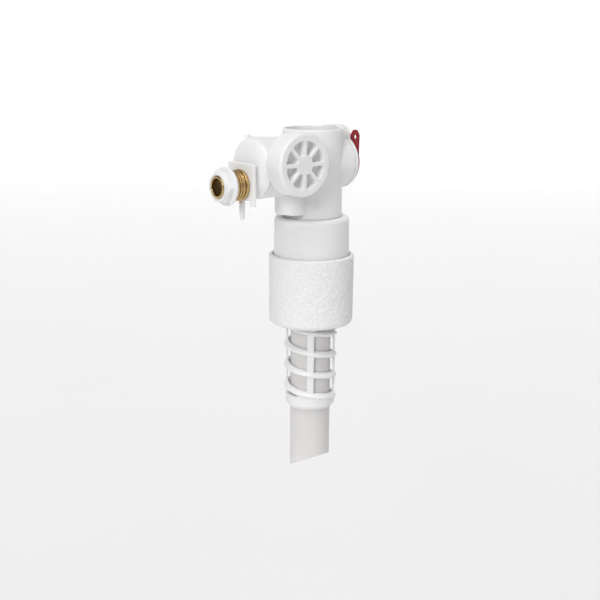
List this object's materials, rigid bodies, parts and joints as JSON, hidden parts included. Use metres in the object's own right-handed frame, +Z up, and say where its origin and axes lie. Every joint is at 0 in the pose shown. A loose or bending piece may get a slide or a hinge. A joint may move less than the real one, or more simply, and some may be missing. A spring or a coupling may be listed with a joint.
{
  "type": "toilet fill valve",
  "caption": "Side-inlet toilet fill valve: a float round a hood slides a threaded cage stem on the down tube and works a pilot lever in an open tower.",
  "frame": {"origin": "centre of the brass inlet collar's clamping face, which is pulled against the cistern wall", "axes": "+X from the inlet towards the tower, +Z up along the tower and the down tube, -Y towards the ribbed service cap"},
  "size_m": [0.1257, 0.0736, 0.2804],
  "materials": {
    "white_plastic": "satin, faintly translucent moulded plastic",
    "tube_plastic": "extruded plastic, warm light grey-white",
    "foam": "expanded polystyrene, fine fused beads",
    "brass": "turned",
    "red_plastic": "moulded",
    "rubber": "moulded",
    "fibre": "pressed fibre washer",
    "steel": "stainless",
    "grey_plastic": "moulded"
  },
  "bodies": {
    "head": {"valve_body": "white_plastic", "hood": "white_plastic", "inlet_cover": "white_plastic", "inlet_cover_o_ring": "rubber", "anti_rotation_plate": "white_plastic", "inlet_nipple": "brass", "inlet_gasket": "rubber", "inlet_filter": "grey_plastic", "flow_restrictor": "grey_plastic", "outlet_elbow": "grey_plastic", "valve_seat": "steel", "diaphragm": "rubber", "diaphragm_spring": "steel", "star_cap_o_ring": "rubber", "end_cover": "white_plastic", "lever_spindle": "white_plastic", "lever_washer": "steel", "pilot_nozzle": "steel", "pilot_lever_pin": "steel", "down_tube": "tube_plastic", "tube_seal": "rubber"},
    "poppet": {"diaphragm_poppet": "white_plastic"},
    "star_cap": {"star_cap": "white_plastic"},
    "nut_washer": {"nut_washer": "fibre"},
    "back_nut": {"back_nut": "white_plastic"},
    "shutoff_lever": {"shutoff_lever": "red_plastic"},
    "pilot_lever": {"pilot_lever": "white_plastic", "pilot_seal": "rubber"},
    "stem": {"stem": "white_plastic", "push_rod": "white_plastic"},
    "level_ring": {"level_ring": "grey_plastic"},
    "float": {"float": "foam", "float_insert": "white_plastic"}
  },
  "joints": [
    {"name": "float_travel", "type": "slide", "parent": "head", "child": "stem", "axis": [0, 0, 1], "range_m": [0, 0.012]},
    {"name": "pilot_lever_pivot", "type": "hinge", "parent": "head", "child": "pilot_lever", "pos_m": [0.0704, 0, 0.0173], "axis": [0, 1, 0], "range_deg": [-24.6, 0]},
    {"name": "level_slide", "type": "slide", "parent": "stem", "child": "level_ring", "axis": [0, 0, 1], "range_m": [-0.0087, 0.0087]},
    {"name": "float_turn", "type": "hinge", "parent": "level_ring", "child": "float", "pos_m": [0.0804, 0, -0.0907], "axis": [0, 0, 1], "range_deg": [-180, 180]},
    {"name": "diaphragm_lift", "type": "slide", "parent": "head", "child": "poppet", "axis": [0, -1, 0], "range_m": [0, 0.0025], "stiffness_N_per_m": 300, "springref_m": -0.002, "deforming": ["diaphragm", "diaphragm_spring"]},
    {"name": "star_cap_turn", "type": "hinge", "parent": "head", "child": "star_cap", "pos_m": [0.0398, -0.03, 0.0163], "axis": [0, -1, 0], "range_deg": [0, 45]},
    {"name": "washer_slide", "type": "slide", "parent": "head", "child": "nut_washer", "axis": [-1, 0, 0], "range_m": [0, 0.0027]},
    {"name": "nut_turn", "type": "hinge", "parent": "nut_washer", "child": "back_nut", "pos_m": [-0.0056, 0, 0], "axis": [-1, 0, 0], "range_deg": [0, 720]},
    {"name": "shutoff_turn", "type": "hinge", "parent": "head", "child": "shutoff_lever", "pos_m": [0.1116, 0, 0.0113], "axis": [-1, 0, 0], "range_deg": [0, 90]}
  ],
  "couplings": [
    {"joint": "pilot_lever_pivot", "follows": "float_travel", "rad_per_m": -35.488},
    {"joint": "level_slide", "follows": "float_turn", "m_per_rad": -0.0027454},
    {"joint": "washer_slide", "follows": "nut_turn", "m_per_rad": 0.00021279}
  ]
}
